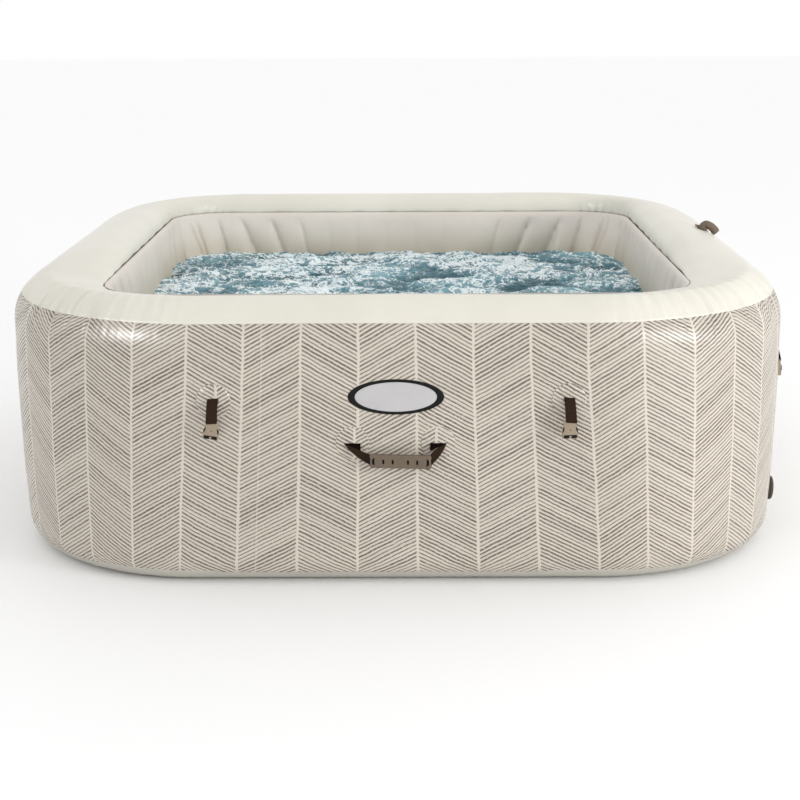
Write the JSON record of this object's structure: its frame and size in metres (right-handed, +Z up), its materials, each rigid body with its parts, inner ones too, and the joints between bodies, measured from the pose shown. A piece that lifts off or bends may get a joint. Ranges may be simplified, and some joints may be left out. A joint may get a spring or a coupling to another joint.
{
  "type": "inflatable hot tub",
  "caption": "Square inflatable spa tub with rounded corners, padded rim, ties inside the wall, cover locks, carry handles, water ports, drain, inflation valve and air elbow.",
  "frame": {"origin": "on the floor, under the middle of the tub", "axes": "+Z up; -Y is the front, with the badge; +X is the side with the water ports, drain and air elbow"},
  "size_m": [1.9954, 1.9954, 0.7095],
  "materials": {
    "printed_vinyl": "satin vinyl sheet with a printed herringbone of fine lines",
    "cream_vinyl": "satin plain vinyl sheet",
    "liner_vinyl": "satin plain vinyl sheet",
    "tie_web": "coated reinforcing fabric",
    "dark_webbing": "woven polyester webbing",
    "taupe_plastic": "moulded, fine matt",
    "beige_plastic": "moulded, satin",
    "dark_plastic": "moulded, satin",
    "badge_face": "printed plate, satin",
    "pale_plastic": "moulded",
    "seal_rubber": "matt",
    "spring_steel": "drawn wire"
  },
  "bodies": {
    "root": {"air_duct": "tie_web", "air_inlet_socket": "taupe_plastic", "back_handle_left_patch": "printed_vinyl", "back_handle_right_patch": "printed_vinyl", "back_left_lock_patch": "printed_vinyl", "back_right_lock_patch": "printed_vinyl", "badge_bezel": "dark_plastic", "badge_face": "badge_face", "base_sheet": "cream_vinyl", "bubble_channel": "liner_vinyl", "drain_valve_body": "taupe_plastic", "floor_sheet": "liner_vinyl", "front_handle_left_patch": "printed_vinyl", "front_handle_right_patch": "printed_vinyl", "front_left_lock_patch": "printed_vinyl", "front_right_lock_patch": "printed_vinyl", "inflation_valve_body": "taupe_plastic", "inflation_valve_spring": "spring_steel", "inlet_gasket": "seal_rubber", "inlet_port": "taupe_plastic", "inlet_strainer": "taupe_plastic", "inner_wall": "liner_vinyl", "left_left_lock_patch": "printed_vinyl", "left_right_lock_patch": "printed_vinyl", "outer_wall": "printed_vinyl", "outlet_gasket": "seal_rubber", "outlet_port": "taupe_plastic", "outlet_strainer": "taupe_plastic", "right_left_lock_patch": "printed_vinyl", "right_right_lock_patch": "printed_vinyl", "tension_web": "tie_web", "top_sheet": "cream_vinyl"},
    "air_elbow": {"air_elbow": "taupe_plastic"},
    "elbow_collar": {"air_elbow_collar": "taupe_plastic"},
    "back_handle": {"back_handle_grip": "taupe_plastic", "back_handle_strap": "dark_webbing"},
    "back_left_lock": {"back_left_lock_buckle": "beige_plastic", "back_left_lock_strap": "dark_webbing"},
    "back_right_lock": {"back_right_lock_buckle": "beige_plastic", "back_right_lock_strap": "dark_webbing"},
    "drain_cap": {"drain_cap": "dark_plastic"},
    "front_handle": {"front_handle_grip": "taupe_plastic", "front_handle_strap": "dark_webbing"},
    "front_left_lock": {"front_left_lock_buckle": "beige_plastic", "front_left_lock_strap": "dark_webbing"},
    "front_right_lock": {"front_right_lock_buckle": "beige_plastic", "front_right_lock_strap": "dark_webbing"},
    "inflation_cap": {"inflation_valve_cap": "taupe_plastic"},
    "valve_stem": {"inflation_valve_stem": "pale_plastic"},
    "inlet_cap": {"inlet_cap": "taupe_plastic"},
    "left_left_lock": {"left_left_lock_buckle": "beige_plastic", "left_left_lock_strap": "dark_webbing"},
    "left_right_lock": {"left_right_lock_buckle": "beige_plastic", "left_right_lock_strap": "dark_webbing"},
    "outlet_cap": {"outlet_cap": "taupe_plastic"},
    "right_left_lock": {"right_left_lock_buckle": "beige_plastic", "right_left_lock_strap": "dark_webbing"},
    "right_right_lock": {"right_right_lock_buckle": "beige_plastic", "right_right_lock_strap": "dark_webbing"}
  },
  "joints": [
    {"name": "front_left_lock_swing", "type": "hinge", "parent": "root", "child": "front_left_lock", "pos_m": [-0.411, -0.96743, 0.45696], "axis": [-1, 0, 0], "range_deg": [0, 120]},
    {"name": "front_right_lock_swing", "type": "hinge", "parent": "root", "child": "front_right_lock", "pos_m": [0.389, -0.96743, 0.45696], "axis": [-1, 0, 0], "range_deg": [0, 120]},
    {"name": "right_left_lock_swing", "type": "hinge", "parent": "root", "child": "right_left_lock", "pos_m": [0.96743, -0.385, 0.45696], "axis": [0, -1, 0], "range_deg": [0, 120]},
    {"name": "right_right_lock_swing", "type": "hinge", "parent": "root", "child": "right_right_lock", "pos_m": [0.96743, 0.385, 0.45696], "axis": [0, -1, 0], "range_deg": [0, 120]},
    {"name": "back_left_lock_swing", "type": "hinge", "parent": "root", "child": "back_left_lock", "pos_m": [0.4, 0.96743, 0.45696], "axis": [1, 0, 0], "range_deg": [0, 120]},
    {"name": "back_right_lock_swing", "type": "hinge", "parent": "root", "child": "back_right_lock", "pos_m": [-0.4, 0.96743, 0.45696], "axis": [1, 0, 0], "range_deg": [0, 120]},
    {"name": "left_left_lock_swing", "type": "hinge", "parent": "root", "child": "left_left_lock", "pos_m": [-0.96743, 0.35, 0.45696], "axis": [0, 1, 0], "range_deg": [0, 120]},
    {"name": "left_right_lock_swing", "type": "hinge", "parent": "root", "child": "left_right_lock", "pos_m": [-0.96743, -0.35, 0.45696], "axis": [0, 1, 0], "range_deg": [0, 120]},
    {"name": "front_handle_swing", "type": "hinge", "parent": "root", "child": "front_handle", "pos_m": [-0.002, -0.96544, 0.34992], "axis": [-1, 0, 0], "range_deg": [0, 120]},
    {"name": "back_handle_swing", "type": "hinge", "parent": "root", "child": "back_handle", "pos_m": [0.002, 0.96544, 0.34992], "axis": [1, 0, 0], "range_deg": [0, 120]},
    {"name": "drain_cap_turn", "type": "hinge", "parent": "root", "child": "drain_cap", "pos_m": [0.958, -0.49, 0.09165], "axis": [0.9984, 0, -0.0571], "range_deg": [0, 540]},
    {"name": "inlet_cap_turn", "type": "hinge", "parent": "root", "child": "inlet_cap", "pos_m": [0.96587, -0.045, 0.27981], "axis": [0.9994, 0, -0.0339], "range_deg": [0, 540]},
    {"name": "outlet_cap_turn", "type": "hinge", "parent": "root", "child": "outlet_cap", "pos_m": [0.96587, 0.137, 0.27981], "axis": [0.9994, 0, -0.0339], "range_deg": [0, 540]},
    {"name": "inflation_cap_turn", "type": "hinge", "parent": "root", "child": "inflation_cap", "pos_m": [0.96813, 0.21, 0.49998], "axis": [1, 0, -0.0066], "range_deg": [0, 540]},
    {"name": "elbow_collar_turn", "type": "hinge", "parent": "root", "child": "elbow_collar", "pos_m": [0.857, 0.046, 0.68688], "axis": [0.3746, 0, 0.9272], "range_deg": [0, 360]},
    {"name": "air_elbow_swivel", "type": "hinge", "parent": "root", "child": "air_elbow", "pos_m": [0.857, 0.046, 0.68688], "axis": [0.3746, 0, 0.9272], "range_deg": [-30, 30]},
    {"name": "valve_stem_push", "type": "slide", "parent": "root", "child": "valve_stem", "axis": [-1, 0, 0.0066], "range_m": [0, 0.003], "stiffness_N_per_m": 250, "springref_m": -0.004}
  ]
}
